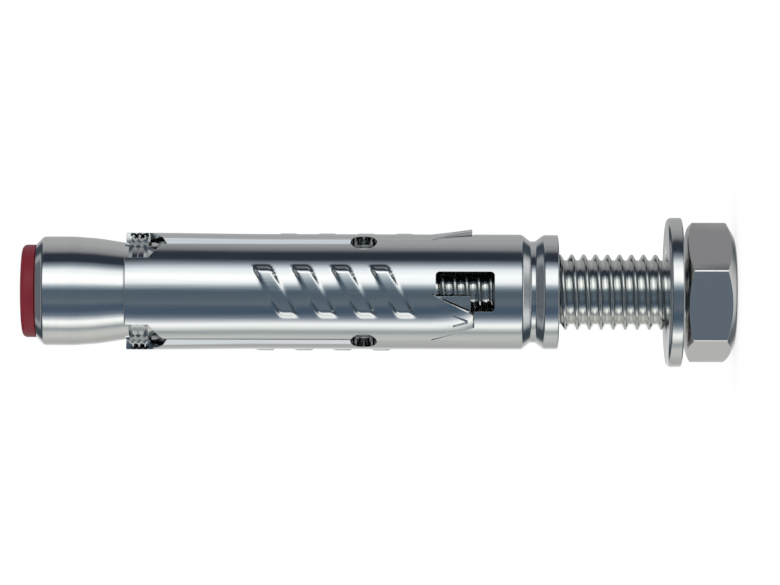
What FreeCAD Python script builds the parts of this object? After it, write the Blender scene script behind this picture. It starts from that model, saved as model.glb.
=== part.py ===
# Sleeve anchor for heavy loads: a hex bolt and washer, a rolled sleeve with three gripping
# segments, and a cone nut closed by a plastic cap. Millimetres, +Z up. The anchor stands on
# its bolt head: the origin is the centre of the head's top face and +Z runs up the bolt.
import FreeCAD, Part
import Sketcher
import math
import os

Vector = FreeCAD.Vector

# Driving sizes

SIZES = {
    # hex bolt
    "head_across_flats": 13.0,
    "head_height": 5.15,
    "head_chamfer_circle": 11.1,
    "head_bearing_circle": 12.9,
    "head_chamfer_angle": 30.0,
    "head_turn": 47.7,
    "bolt_diameter": 7.9,
    "bolt_tip_depth": 3.1,
    "bolt_tip_chamfer": 0.9,
    "under_head_bevel": 0.25,
    # washer
    "washer_diameter": 15.6,
    "washer_clearance": 0.25,
    "washer_thickness": 1.55,
    "washer_gap": 0.45,
    "washer_rim_bevel": 0.4,
    "washer_edge_break": 0.15,
    # sleeve, measured from its foot, the end nearest the bolt head
    "grip_length": 13.32,
    "sleeve_length": 45.06,
    "sleeve_wall": 1.0,
    "mouth_straight": 3.4,
    "mouth_flare": 0.1,
    "flare_length": 10.0,
    "sleeve_end_break": 0.25,
    # rolled groove that holds the bolt central
    "collar_step": 0.04,
    "collar_height": 1.5,
    "groove_length": 2.3,
    "groove_depth": 0.72,
    "groove_floor": 0.4,
    "groove_shoulder_bevel": 0.12,
    # three slots that divide the sleeve into segments
    "segment_count": 3,
    "slot_depth": 24.8,
    "slot_hole": 2.75,
    "slit_width": 1.15,
    "notch_width": 5.2,
    "notch_depth": 2.5,
    "notch_point": 4.4,
    # slanted ribs on each segment
    "rib_count": 4,
    "rib_pitch": 4.04,
    "rib_centre": 23.35,
    "rib_width": 2.0,
    "rib_top_width": 1.3,
    "rib_height": 0.2,
    "rib_angle": 52.0,
    "rib_rise": 2.4,
    # window in each segment
    "window_start": 6.7,
    "window_length": 6.1,
    "window_upper": 2.1,
    "window_lower": 0.45,
    "window_step": 2.05,
    "window_step_length": 2.5,
    "window_corner": 0.4,
    # lanced barb beside each window
    "barb_tip": 8.8,
    "barb_length": 4.4,
    "barb_height": 0.6,
    "barb_start": 0.01,
    "barb_turn": 29.0,
    "barb_root_angle": 28.0,
    "barb_tip_angle": 9.0,
    "barb_dimple_length": 1.4,
    "barb_dimple_width": 1.0,
    "barb_dimple_depth": 0.6,
    # cone nut
    "cone_out": 9.4,
    "cone_in": 5.3,
    "cone_seat_wall": 1.05,
    "cone_rise": 0.63,
    "cone_knee": 2.9,
    "cone_knee_rise": 0.45,
    "cone_straight": 4.0,
    "cone_end_chamfer": 0.85,
    "cone_tail_chamfer": 0.3,
    "cone_clearance": 0.05,
    "thread_clearance": 0.05,
    # keys on the cone nut that lie in the mouth of each slot
    "key_length": 1.9,
    "key_angle": 48.0,
    "key_end_gap": 0.15,
    "key_sink": 0.12,
    "key_root": 0.6,
    "key_tooth_depth": 0.32,
    "key_tooth_count": 3,
    "key_split": 1.1,
    "key_split_sink": 0.1,
    # cap
    "cap_thickness": 1.4,
    "cap_bevel": 0.4,
    "cap_plug_length": 2.0,
    "cap_plug_clearance": 0.02,
}

document = FreeCAD.newDocument("SleeveAnchor")
sheet = document.addObject("Spreadsheet::Sheet", "Size")
for row, (alias, value) in enumerate(SIZES.items(), start=1):
    sheet.set(f"A{row}", alias)
    sheet.set(f"B{row}", str(value))
    sheet.setAlias(f"B{row}", alias)
document.recompute()

# Places worked out from the driving sizes, as expressions of the sheet

FOOT = "(Size.head_height + Size.grip_length)"
MOUTH = f"({FOOT} + Size.sleeve_length)"
BOLT_RADIUS = "(Size.bolt_diameter / 2)"
NUT_BORE = f"({BOLT_RADIUS} + Size.thread_clearance)"
CONE_SEAT_RADIUS = f"({NUT_BORE} + Size.cone_seat_wall)"
CONE_RADIUS = f"({CONE_SEAT_RADIUS} + Size.cone_rise)"
CONE_END_RADIUS = f"({CONE_RADIUS} - Size.cone_end_chamfer)"
MOUTH_RADIUS = f"({CONE_SEAT_RADIUS} + Size.cone_clearance + Size.sleeve_wall)"
SLEEVE_RADIUS = f"({MOUTH_RADIUS} - Size.mouth_flare)"
COLLAR_RADIUS = f"({SLEEVE_RADIUS} - Size.collar_step)"
GROOVE_END = f"({FOOT} + Size.collar_height + Size.groove_length)"
GROOVE_MIDDLE = f"({FOOT} + Size.collar_height + Size.groove_length / 2)"
GROOVE_RADIUS = f"({SLEEVE_RADIUS} - Size.groove_depth)"
FLARE_END = f"({MOUTH} - Size.mouth_straight)"
FLARE_START = f"({FLARE_END} - Size.flare_length)"
SLOT_END = f"({MOUTH} - Size.slot_depth)"
CONE_TOP = f"({MOUTH} + Size.cone_out)"
CONE_SHOULDER = f"({CONE_TOP} - Size.cone_straight)"
CONE_KNEE = f"({MOUTH} + Size.cone_knee)"
CONE_KNEE_RADIUS = f"({CONE_SEAT_RADIUS} + Size.cone_knee_rise)"
CONE_SLOPE = "(Size.cone_rise / (Size.cone_out - Size.cone_straight))"
CONE_TAIL = f"({MOUTH} - Size.cone_in)"
CONE_TAIL_RADIUS = f"({CONE_SEAT_RADIUS} - {CONE_SLOPE} * Size.cone_in)"
BOLT_TIP = f"({CONE_TOP} - Size.bolt_tip_depth)"


def value_of(expression):
    """The number that an expression of the sheet gives now."""
    return float(sheet.evalExpression(expression))


def origin_feature(body, role):
    """One of a body's own origin planes or axes."""
    for feature in body.Origin.OriginFeatures:
        if feature.Role == role:
            return feature
    raise ValueError(role)


def new_body(label):
    """An empty body for one physical piece."""
    body = document.addObject("PartDesign::Body", label)
    body.Label = label
    return body


def new_sketch(body, name, role, turn="0", lift="0"):
    """A sketch on one of the body's origin planes, turned about +Z and then lifted along its normal."""
    sketch = body.newObject("Sketcher::SketchObject", name)
    sketch.AttachmentSupport = (origin_feature(body, role), "")
    sketch.MapMode = "FlatFace"
    level = role == "XY_Plane"
    axis = Vector(0, 0, 1) if level else Vector(0, 1, 0)
    angle = value_of(turn)
    sketch.AttachmentOffset = FreeCAD.Placement(Vector(0, 0, 0), FreeCAD.Rotation(axis, angle))
    if angle:
        sketch.setExpression("AttachmentOffset.Rotation.Angle", turn)
    sketch.setExpression("AttachmentOffset.Base.z", lift if level else f"({lift}) * cos(({turn}) * 1 deg)")
    if not level:
        sketch.setExpression("AttachmentOffset.Base.x", f"({lift}) * sin(({turn}) * 1 deg)")
    document.recompute()
    return sketch


def bind(sketch, constraint, expression):
    """Adds a driving constraint and ties its value to the sheet."""
    index = sketch.addConstraint(constraint)
    name = f"size_{index}"
    sketch.renameConstraint(index, name)
    sketch.setExpression(f"Constraints.{name}", expression)


def bind_point(sketch, geometry, end, across, along):
    """Ties one end of a line or arc to a point given by two expressions."""
    bind(sketch, Sketcher.Constraint("DistanceX", -1, 1, geometry, end, value_of(across)), across)
    bind(sketch, Sketcher.Constraint("DistanceY", -1, 1, geometry, end, value_of(along)), along)


def polygon(sketch, corners):
    """A closed outline of straight lines, each corner given by two expressions."""
    spots = [Vector(value_of(across), value_of(along), 0) for across, along in corners]
    first = sketch.GeometryCount
    count = len(corners)
    for number in range(count):
        sketch.addGeometry(Part.LineSegment(spots[number], spots[(number + 1) % count]), False)
    for number in range(count):
        following = first + (number + 1) % count
        sketch.addConstraint(Sketcher.Constraint("Coincident", first + number, 2, following, 1))
    for number, (across, along) in enumerate(corners):
        bind_point(sketch, first + number, 1, across, along)
    return sketch


def circle(sketch, across, along, radius):
    """A full circle given by three expressions."""
    centre = Vector(value_of(across), value_of(along), 0)
    number = sketch.addGeometry(Part.Circle(centre, Vector(0, 0, 1), value_of(radius)), False)
    bind_point(sketch, number, 3, across, along)
    bind(sketch, Sketcher.Constraint("Radius", number, value_of(radius)), radius)
    return sketch


def sector(sketch, inner, outer, half_angle):
    """A piece of a ring about the origin, centred on the sketch's vertical axis."""
    spread = math.radians(value_of(half_angle))
    middle = math.pi / 2
    arcs = []
    for radius in (inner, outer):
        ring = Part.Circle(Vector(0, 0, 0), Vector(0, 0, 1), value_of(radius))
        arcs.append(sketch.addGeometry(Part.ArcOfCircle(ring, middle - spread, middle + spread), False))
    for arc, radius in zip(arcs, (inner, outer)):
        sketch.addConstraint(Sketcher.Constraint("Coincident", arc, 3, -1, 1))
        bind(sketch, Sketcher.Constraint("Radius", arc, value_of(radius)), radius)
        reach = f"({radius} * sin({half_angle} * 1 deg))"
        bind(sketch, Sketcher.Constraint("DistanceX", -1, 1, arc, 1, value_of(reach)), reach)
        bind(sketch, Sketcher.Constraint("DistanceX", -1, 1, arc, 2, -value_of(reach)), f"-{reach}")
    for end in (1, 2):
        spots = [Vector(*sketch.getPoint(arc, end)) for arc in arcs]
        side = sketch.addGeometry(Part.LineSegment(*spots), False)
        sketch.addConstraint(Sketcher.Constraint("Coincident", side, 1, arcs[0], end))
        sketch.addConstraint(Sketcher.Constraint("Coincident", side, 2, arcs[1], end))
    return sketch


def revolve(body, name, sketch, kind="Revolution", angle=None):
    """Turns a sketch about the body's +Z axis, all the way or evenly to both sides."""
    feature = body.newObject(f"PartDesign::{kind}", name)
    feature.Profile = sketch
    feature.ReferenceAxis = (sketch, ["V_Axis"])
    feature.Angle = 360
    if angle:
        feature.Midplane = True
        feature.setExpression("Angle", angle)
    document.recompute()
    return feature


def pocket(body, name, sketch, depth=None, backwards=False):
    """Cuts a sketch's outline through the body or to a depth, and checks that it removed metal."""
    before = body.Shape.Volume
    feature = body.newObject("PartDesign::Pocket", name)
    feature.Profile = sketch
    feature.Reversed = backwards
    if depth is None:
        feature.Type = "ThroughAll"
    else:
        feature.Type = "Length"
        feature.setExpression("Length", depth)
    document.recompute()
    if feature.Shape.Volume >= before:
        raise RuntimeError(f"{name} cuts nothing")
    return feature


def polar(body, name, features, count):
    """Repeats features evenly round the +Z axis."""
    pattern = body.newObject("PartDesign::PolarPattern", name)
    pattern.Originals = features
    pattern.Axis = (origin_feature(body, "Z_Axis"), [""])
    pattern.Angle = 360
    pattern.setExpression("Occurrences", count)
    body.Tip = pattern
    document.recompute()
    return pattern


def ring_edges(shape, rings):
    """Names of the full circular edges about +Z that match (radius, height) pairs."""
    names = []
    for number, edge in enumerate(shape.Edges, start=1):
        if not isinstance(edge.Curve, Part.Circle) or len(edge.Vertexes) > 1:
            continue
        for radius, height in rings:
            same_radius = abs(edge.Curve.Radius - value_of(radius)) < 1e-4
            if same_radius and abs(edge.Curve.Center.z - value_of(height)) < 1e-4:
                names.append(f"Edge{number}")
    if len(names) != len(rings):
        raise RuntimeError("a ring edge is missing")
    return names


def break_rings(body, name, rings, width):
    """Breaks circular edges of the body's newest feature with a small chamfer."""
    base = body.Tip
    chamfer = body.newObject("PartDesign::Chamfer", name)
    chamfer.Base = (base, ring_edges(base.Shape, rings))
    chamfer.setExpression("Size", width)
    document.recompute()
    return chamfer


def chamfer_head(body, name, circle_size, face, into, away):
    """Turns a cone off the corners at one face of the head, down to a circle on that face."""
    start = f"({circle_size} / 2)"
    overshoot = "Size.head_across_flats"
    fall = f"(({overshoot} - {start}) * tan(Size.head_chamfer_angle * 1 deg))"
    wedge = new_sketch(body, f"{name}_section", "XZ_Plane")
    polygon(wedge, [
        (start, face),
        (overshoot, f"{face} {into} {fall}"),
        (overshoot, f"{face} {away} {fall}"),
        (start, f"{face} {away} {fall}"),
    ])
    revolve(body, name, wedge, "Groove")


def make_hex_bolt():
    """Hex head with both ends chamfered, and a shank as wide as the thread's crests."""
    body = new_body("hex_bolt")
    corner = "(Size.head_across_flats / 2 / cos(30 deg))"
    outline = new_sketch(body, "head_outline", "XY_Plane")
    directions = [f"(Size.head_turn * 1 deg + {60 * number} deg)" for number in range(6)]
    polygon(outline, [(f"{corner} * cos({way})", f"{corner} * sin({way})") for way in directions])
    head = body.newObject("PartDesign::Pad", "head")
    head.Profile = outline
    head.setExpression("Length", "Size.head_height")
    document.recompute()

    shank = new_sketch(body, "shank_section", "XZ_Plane")
    polygon(shank, [
        ("0", "Size.head_height / 2"),
        (BOLT_RADIUS, "Size.head_height / 2"),
        (BOLT_RADIUS, f"{BOLT_TIP} - Size.bolt_tip_chamfer"),
        (f"{BOLT_RADIUS} - Size.bolt_tip_chamfer", BOLT_TIP),
        ("0", BOLT_TIP),
    ])
    revolve(body, "shank", shank)
    break_rings(body, "under_head", [(BOLT_RADIUS, "Size.head_height")], "Size.under_head_bevel")

    chamfer_head(body, "head_top_chamfer", "Size.head_chamfer_circle", "0", "+", "-")
    chamfer_head(body, "head_bearing_chamfer", "Size.head_bearing_circle", "Size.head_height", "-", "+")
    return body


def make_washer():
    """Punched flat washer, its rim bevelled more on the side away from the head."""
    body = new_body("washer")
    low = "(Size.head_height + Size.washer_gap)"
    high = f"({low} + Size.washer_thickness)"
    section = new_sketch(body, "section", "XZ_Plane")
    inner = f"({BOLT_RADIUS} + Size.washer_clearance)"
    outer = "(Size.washer_diameter / 2)"
    polygon(section, [(inner, low), (outer, low), (outer, high), (inner, high)])
    revolve(body, "disc", section)
    break_rings(body, "rim_bevel", [(outer, high)], "Size.washer_rim_bevel")
    break_rings(body, "edge_break", [(outer, low)], "Size.washer_edge_break")
    return body


def sleeve_wall_section(body):
    """Section of the rolled sheet: collar, groove pressed in from outside, barrel and flared mouth."""
    wall = "Size.sleeve_wall"
    groove_start = f"({FOOT} + Size.collar_height)"
    half_floor = "(Size.groove_floor / 2)"
    outside = [
        (COLLAR_RADIUS, FOOT),
        (COLLAR_RADIUS, groove_start),
        (GROOVE_RADIUS, f"{GROOVE_MIDDLE} - {half_floor}"),
        (GROOVE_RADIUS, f"{GROOVE_MIDDLE} + {half_floor}"),
        (SLEEVE_RADIUS, GROOVE_END),
        (SLEEVE_RADIUS, FLARE_START),
        (MOUTH_RADIUS, FLARE_END),
        (MOUTH_RADIUS, MOUTH),
    ]
    inside = [(f"{radius} - {wall}", height) for radius, height in reversed(outside)]
    sketch = new_sketch(body, "wall_section", "XZ_Plane")
    return polygon(sketch, outside + inside)


def cut_slots(body):
    """A funnel-shaped notch, a straight slit and a round relief hole between the segments."""
    slit = "(Size.slit_width / 2)"
    notch = "(Size.notch_width / 2)"
    beyond = f"({MOUTH} + Size.sleeve_wall)"
    outline = new_sketch(body, "slot_outline", "XZ_Plane")
    polygon(outline, [
        (f"-{slit}", SLOT_END),
        (slit, SLOT_END),
        (slit, f"{MOUTH} - Size.notch_point"),
        (notch, f"{MOUTH} - Size.notch_depth"),
        (notch, beyond),
        (f"-{notch}", beyond),
        (f"-{notch}", f"{MOUTH} - Size.notch_depth"),
        (f"-{slit}", f"{MOUTH} - Size.notch_point"),
    ])
    slot = pocket(body, "slot", outline)
    relief = pocket(body, "slot_relief", circle(
        new_sketch(body, "relief_outline", "XZ_Plane"), "0", SLOT_END, "Size.slot_hole / 2"))
    polar(body, "slots", [slot, relief], "Size.segment_count")


def raise_ribs(body):
    """Slanted ribs that follow the barrel, a row of them on each segment."""
    segment = "(360 / Size.segment_count)"
    start = f"(90 + {segment} / 2 - Size.rib_angle / 2 + {segment})"
    row_top = f"({FOOT} + Size.rib_centre + Size.rib_pitch * (Size.rib_count - 1) / 2)"
    middle = f"({row_top} - Size.rib_rise / 2)"
    root = f"({SLEEVE_RADIUS} - Size.sleeve_wall / 3)"
    crest = f"({SLEEVE_RADIUS} + Size.rib_height)"
    foot_half = "(Size.rib_width / 2)"
    top_half = "(Size.rib_top_width / 2)"
    section = new_sketch(body, "rib_section", "XZ_Plane", turn=start)
    polygon(section, [
        (root, f"{middle} - {foot_half}"),
        (SLEEVE_RADIUS, f"{middle} - {foot_half}"),
        (crest, f"{middle} - {top_half}"),
        (crest, f"{middle} + {top_half}"),
        (SLEEVE_RADIUS, f"{middle} + {foot_half}"),
        (root, f"{middle} + {foot_half}"),
    ])
    rib = body.newObject("PartDesign::AdditiveHelix", "rib")
    rib.Profile = section
    rib.ReferenceAxis = (section, ["V_Axis"])
    rib.Mode = 0
    rib.LeftHanded = False
    rib.setExpression("Pitch", "Size.rib_rise * 360 / Size.rib_angle")
    rib.setExpression("Height", "Size.rib_rise")
    document.recompute()
    along = body.newObject("PartDesign::LinearPattern", "rib_row")
    along.Direction = (origin_feature(body, "Z_Axis"), [""])
    along.Reversed = True
    along.setExpression("Length", "Size.rib_pitch * (Size.rib_count - 1)")
    along.setExpression("Occurrences", "Size.rib_count")
    around = body.newObject("PartDesign::PolarPattern", "rib_ring")
    around.Axis = (origin_feature(body, "Z_Axis"), [""])
    around.Angle = 360
    around.setExpression("Occurrences", "Size.segment_count")
    ribs = body.newObject("PartDesign::MultiTransform", "ribs")
    ribs.Originals = [rib]
    ribs.Transformations = [along, around]
    body.Tip = ribs
    document.recompute()


def barb_loft(body, name, kind, under, root_radius, tip_radius):
    """A wedge that widens to its root and rises to its tip, between two ring sections."""
    tip = f"({FOOT} + Size.barb_tip)"
    root = f"({tip} + Size.barb_length)"
    turn = "(Size.barb_turn)"
    low = new_sketch(body, f"{name}_tip", "XY_Plane", turn=turn, lift=tip)
    sector(low, under, tip_radius, "Size.barb_tip_angle")
    high = new_sketch(body, f"{name}_root", "XY_Plane", turn=turn, lift=root)
    sector(high, under, root_radius, "Size.barb_root_angle")
    loft = body.newObject(f"PartDesign::{kind}", name)
    loft.Profile = low
    loft.Sections = [high]
    loft.Ruled = True
    document.recompute()
    return loft


def press_barbs(body):
    """Triangular barbs lanced and pressed outwards, hollow behind, with a punched mark on top."""
    bore = f"({SLEEVE_RADIUS} - Size.sleeve_wall)"
    barb = barb_loft(body, "barb", "AdditiveLoft", f"({bore} + Size.sleeve_wall / 2)",
                     f"({SLEEVE_RADIUS} + Size.barb_start)", f"({SLEEVE_RADIUS} + Size.barb_height)")
    hollow = barb_loft(body, "barb_hollow", "SubtractiveLoft", f"({bore} - Size.sleeve_wall / 2)",
                       f"({bore} + Size.barb_start)", f"({bore} + Size.barb_height)")
    dimple = new_sketch(body, "dimple_outline", "XZ_Plane", turn="(Size.barb_turn)",
                        lift=f"-({SLEEVE_RADIUS} + Size.barb_height)")
    tip = f"({FOOT} + Size.barb_tip + Size.barb_dimple_width)"
    half = "(Size.barb_dimple_width / 2)"
    polygon(dimple, [("0", tip), (half, f"{tip} + Size.barb_dimple_length"),
                     (f"-{half}", f"{tip} + Size.barb_dimple_length")])
    mark = pocket(body, "barb_dimple", dimple, "Size.barb_dimple_depth", backwards=True)
    polar(body, "barbs", [barb, hollow, mark], "Size.segment_count")


def cut_windows(body):
    """Stepped window in each segment, through which the thread shows."""
    low = f"({FOOT} + Size.window_start)"
    high = f"({low} + Size.window_length)"
    step = f"({low} + Size.window_step_length)"
    corner = "Size.window_corner"
    outline = new_sketch(body, "window_outline", "XZ_Plane", turn="180 / Size.segment_count")
    polygon(outline, [
        (f"Size.window_step - {corner}", low),
        (f"-Size.window_upper + {corner}", low),
        ("-Size.window_upper", f"{low} + {corner}"),
        ("-Size.window_upper", f"{high} - {corner}"),
        (f"-Size.window_upper + {corner}", high),
        ("Size.window_lower", high),
        ("Size.window_lower", step),
        ("Size.window_step", step),
        ("Size.window_step", f"{low} + {corner}"),
    ])
    window = pocket(body, "window", outline)
    polar(body, "windows", [window], "Size.segment_count")


def make_expansion_sleeve():
    """Sleeve rolled from sheet, in one piece."""
    body = new_body("expansion_sleeve")
    revolve(body, "wall", sleeve_wall_section(body))
    shoulders = [
        (SLEEVE_RADIUS, GROOVE_END),
        (COLLAR_RADIUS, f"({FOOT} + Size.collar_height)"),
    ]
    break_rings(body, "groove_shoulders", shoulders, "Size.groove_shoulder_bevel")
    break_rings(body, "end_breaks", [(COLLAR_RADIUS, FOOT), (MOUTH_RADIUS, MOUTH)], "Size.sleeve_end_break")
    cut_slots(body)
    raise_ribs(body)
    press_barbs(body)
    cut_windows(body)
    return body


def make_cone_nut():
    """Tapered nut with a plain stretch outside the sleeve and three toothed keys."""
    body = new_body("cone_nut")
    tail = "Size.cone_tail_chamfer"
    section = new_sketch(body, "cone_section", "XZ_Plane")
    polygon(section, [
        (NUT_BORE, CONE_TAIL),
        (f"{CONE_TAIL_RADIUS} - {tail} / 2", CONE_TAIL),
        (f"{CONE_TAIL_RADIUS} + {CONE_SLOPE} * {tail}", f"{CONE_TAIL} + {tail}"),
        (CONE_SEAT_RADIUS, MOUTH),
        (CONE_KNEE_RADIUS, CONE_KNEE),
        (CONE_RADIUS, CONE_SHOULDER),
        (CONE_RADIUS, f"{CONE_TOP} - Size.cone_end_chamfer"),
        (CONE_END_RADIUS, CONE_TOP),
        (NUT_BORE, CONE_TOP),
    ])
    revolve(body, "cone", section)

    low = f"({MOUTH} - Size.notch_depth + Size.key_end_gap)"
    crest = f"({MOUTH_RADIUS} - Size.key_sink)"
    valley = f"({crest} - Size.key_tooth_depth)"
    count = SIZES["key_tooth_count"]
    teeth = []
    for number in range(count):
        foot = f"({low} + Size.key_length * {number} / Size.key_tooth_count)"
        teeth.append((valley, foot))
        teeth.append((crest, f"({foot} + Size.key_length / Size.key_tooth_count / 2)"))
    top = f"({low} + Size.key_length)"
    inside = f"({CONE_SEAT_RADIUS} - Size.key_root)"
    keys = new_sketch(body, "key_section", "YZ_Plane")
    polygon(keys, [(inside, low)] + teeth + [(valley, top), (inside, top)])
    key = revolve(body, "key", keys, angle="Size.key_angle")
    floor = f"({CONE_SEAT_RADIUS} - Size.key_split_sink)"
    split = new_sketch(body, "split_outline", "XZ_Plane", lift=f"-{floor}")
    half = "(Size.key_split / 2)"
    below = f"{low} - Size.key_end_gap"
    above = f"{top} + Size.key_end_gap"
    polygon(split, [(f"-{half}", below), (half, below), (half, above), (f"-{half}", above)])
    groove = pocket(body, "key_groove", split)
    polar(body, "keys", [key, groove], "Size.segment_count")
    return body


def make_end_cap():
    """Plastic cap whose plug closes the outer end of the nut's thread."""
    body = new_body("end_cap")
    plug = f"({NUT_BORE} - Size.cap_plug_clearance)"
    top = f"({CONE_TOP} + Size.cap_thickness)"
    section = new_sketch(body, "cap_section", "XZ_Plane")
    polygon(section, [
        ("0", f"{CONE_TOP} - Size.cap_plug_length"),
        (plug, f"{CONE_TOP} - Size.cap_plug_length"),
        (plug, CONE_TOP),
        (CONE_END_RADIUS, CONE_TOP),
        (CONE_END_RADIUS, top),
        ("0", top),
    ])
    revolve(body, "cap", section)
    break_rings(body, "cap_edge", [(CONE_END_RADIUS, top)], "Size.cap_bevel")
    return body


def check_and_export(bodies):
    """Stops on any failed object or shape, then writes one file for each piece."""
    document.recompute()
    for thing in document.Objects:
        if "Invalid" in thing.State or "Error" in thing.State:
            raise RuntimeError(f"{thing.Name} failed: {thing.State}")
    os.makedirs("parts", exist_ok=True)
    for body in bodies:
        shape = body.Shape
        if shape.isNull() or not shape.isValid() or len(shape.Solids) != 1:
            raise RuntimeError(f"{body.Label} is not one valid solid")
        shape.exportStep(f"parts/{body.Label}.step")
        box = shape.BoundBox
        reach = f"z {box.ZMin:.2f} to {box.ZMax:.2f}"
        print(f"{body.Label}: volume {shape.Volume:.1f}, {reach}, faces {len(shape.Faces)}")


pieces = [make_hex_bolt(), make_washer(), make_expansion_sleeve(), make_cone_nut(), make_end_cap()]
check_and_export(pieces)
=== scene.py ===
# Looks of the sleeve anchor: zinc-plated bolt, washer, rolled sleeve and cone nut, dark red cap.
# Metres, +Z up, the anchor stands on its bolt head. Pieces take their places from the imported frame.
import bpy
import bmesh
import math
from mathutils import Matrix, Vector


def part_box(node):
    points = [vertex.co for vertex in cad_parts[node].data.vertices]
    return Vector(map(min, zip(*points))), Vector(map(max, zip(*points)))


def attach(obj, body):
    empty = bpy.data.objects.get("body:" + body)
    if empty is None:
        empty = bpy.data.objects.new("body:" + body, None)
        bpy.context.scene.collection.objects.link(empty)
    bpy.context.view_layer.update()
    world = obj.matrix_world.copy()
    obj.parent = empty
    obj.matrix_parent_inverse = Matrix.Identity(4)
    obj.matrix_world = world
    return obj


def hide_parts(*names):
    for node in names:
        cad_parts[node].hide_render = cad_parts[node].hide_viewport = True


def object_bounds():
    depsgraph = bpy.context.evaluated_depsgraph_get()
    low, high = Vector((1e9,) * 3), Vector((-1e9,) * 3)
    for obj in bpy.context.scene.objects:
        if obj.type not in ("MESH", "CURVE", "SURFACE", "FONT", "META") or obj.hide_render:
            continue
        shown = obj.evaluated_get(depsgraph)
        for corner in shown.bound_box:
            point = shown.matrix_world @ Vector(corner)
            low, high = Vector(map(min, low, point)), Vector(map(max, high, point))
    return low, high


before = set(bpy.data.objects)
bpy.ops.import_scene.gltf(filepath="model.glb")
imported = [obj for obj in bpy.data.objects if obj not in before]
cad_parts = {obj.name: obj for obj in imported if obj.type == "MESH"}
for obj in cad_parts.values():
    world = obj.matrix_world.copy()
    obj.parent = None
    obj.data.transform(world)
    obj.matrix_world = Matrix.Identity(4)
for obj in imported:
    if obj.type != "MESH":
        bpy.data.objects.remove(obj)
cad_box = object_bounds()

MM = 0.001

# Places read from the frame
_, bolt_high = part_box("hex_bolt")
washer_low, washer_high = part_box("washer")
sleeve_low, sleeve_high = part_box("expansion_sleeve")
cone_low, cone_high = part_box("cone_nut")
_, cap_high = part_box("end_cap")
WASHER_LOW = washer_low.z
WASHER_HIGH = washer_high.z
WASHER_RADIUS = washer_high.x
FOOT = sleeve_low.z
MOUTH = sleeve_high.z
CONE_TAIL = cone_low.z
CONE_TOP = cone_high.z
CAP_TOP = cap_high.z
CAP_RADIUS = cap_high.x
BOLT_TIP = bolt_high.z

# Fineness
FINE_STEPS = 300
COARSE_STEPS = 144
THREAD_STEPS = 48
KEY_STEPS = 24
RELIEF_STEPS = 64
ROUND_STEPS = 4
THREAD_ROUND_STEPS = 3
SLOPE_CUTS = 5
BARB_CUTS = 35
RIB_CUTS = 155
FLARE_CUTS = 9
NEAR = 0.01 * MM
MERGE_DISTANCE = 0.001 * MM
PLANE_DISTANCE = 0.0001 * MM
SMOOTH_ANGLE = math.radians(32)
BOLT_SMOOTH_ANGLE = math.radians(30)
FINE_SMOOTH_ANGLE = math.radians(28)

# Bolt
HEAD_ACROSS_FLATS = 13.0 * MM
HEAD_HEIGHT = 5.15 * MM
HEAD_TURN = math.radians(47.7)
HEAD_CHAMFER_RADIUS = 5.55 * MM
HEAD_BEARING_RADIUS = 6.45 * MM
HEAD_CHAMFER_ANGLE = math.radians(30)
HEAD_FORM_MARGIN = 0.2 * MM
HEX_HALF_ANGLE = math.pi / 6
HEAD_EDGE_ROUND = 0.22 * MM
HEAD_END_ROUND = 0.5 * MM
BOLT_RADIUS = 3.95 * MM
THREAD_PITCH = 1.25 * MM
THREAD_DEPTH = 0.6 * MM
THREAD_CREST = 0.2 * MM
THREAD_FLANK = 0.34 * MM
THREAD_ROUND = 0.07 * MM
THREAD_START = HEAD_HEIGHT - 4 * THREAD_PITCH
BOLT_TIP_CHAMFER = 0.9 * MM

# Washer
WASHER_HOLE_RADIUS = 4.2 * MM
WASHER_RIM_ROUND = 0.45 * MM
WASHER_EDGE_ROUND = 0.18 * MM

# Sleeve
SLEEVE_WALL = 1.0 * MM
MOUTH_RADIUS = 6.1 * MM
SLEEVE_RADIUS = 6.0 * MM
COLLAR_RADIUS = 5.96 * MM
COLLAR_HEIGHT = 1.5 * MM
GROOVE_LENGTH = 2.3 * MM
GROOVE_DEPTH = 0.72 * MM
GROOVE_FLOOR = 0.5 * MM
GROOVE_SHOULDER_ROUND = 0.16 * MM
GROOVE_FLOOR_ROUND = 0.12 * MM
SLEEVE_END_ROUND = 0.15 * MM
MOUTH_STRAIGHT = 3.4 * MM
FLARE_LENGTH = 10.0 * MM
SEGMENTS = 3
SLOT_DEPTH = 24.8 * MM
SLOT_HOLE_RADIUS = 1.375 * MM
SLIT_WIDTH = 1.1 * MM
SLIT_GAP = 0.12 * MM
SLIT_REACH = 1.2 * MM
SLIT_UPPER_TILT = math.radians(35.5)
SLIT_LOWER_TILT = math.radians(28)
NOTCH_WIDTH = 5.2 * MM
NOTCH_DEPTH = 2.5 * MM
NOTCH_POINT = 4.4 * MM

# Ribs, seen along each segment
RIB_COUNT = 4
RIB_PITCH = 4.04 * MM
RIB_CENTRE = 23.35 * MM
RIB_HALF_WIDTH = 1.05 * MM
RIB_SOFT_EDGE = 0.45 * MM
RIB_SHARP_EDGE = 0.3 * MM
RIB_ANGLE = math.radians(52)
RIB_RISE = 3.0 * MM
RIB_MIDDLE_HEIGHT = 0.07 * MM
RIB_UPPER_SWELL = 0.2 * MM
RIB_LOWER_SWELL = 0.11 * MM
RIB_PEAK = math.radians(19)
RIB_END = math.radians(28)

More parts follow.
